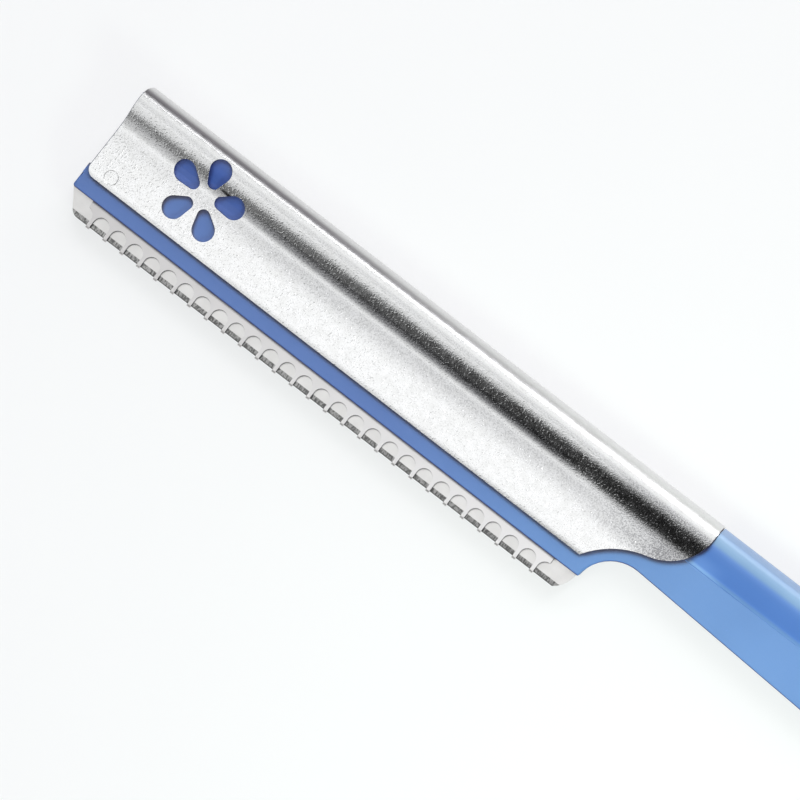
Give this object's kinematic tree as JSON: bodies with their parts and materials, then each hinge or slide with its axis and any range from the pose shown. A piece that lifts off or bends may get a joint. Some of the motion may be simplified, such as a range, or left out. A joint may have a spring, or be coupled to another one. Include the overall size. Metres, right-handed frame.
{
  "type": "eyebrow razor",
  "caption": "Slim fixed eyebrow razor: ribbed plastic handle, folded metal spine cover with a flower cut-out, and a straight guarded blade held in the head.",
  "frame": {"origin": "middle of the razor's outline seen from its front face, level with the lowest line of its spine", "axes": "+X from the head's free end to the tail of the handle, +Y from the cutting edge to the spine, +Z out of the front face, the one with the flower cut-out"},
  "size_m": [0.148, 0.0106, 0.0041],
  "materials": {
    "blue_plastic": "satin moulded plastic",
    "blade_steel": "fine ground strip steel",
    "guard_steel": "bright rolled strip",
    "cover_steel": "satin pearl-blasted sheet"
  },
  "bodies": {
    "root": {"handle": "blue_plastic", "clamp_plate": "blue_plastic", "blade": "blade_steel", "guard": "guard_steel", "cover": "cover_steel"}
  },
  "joints": []
}
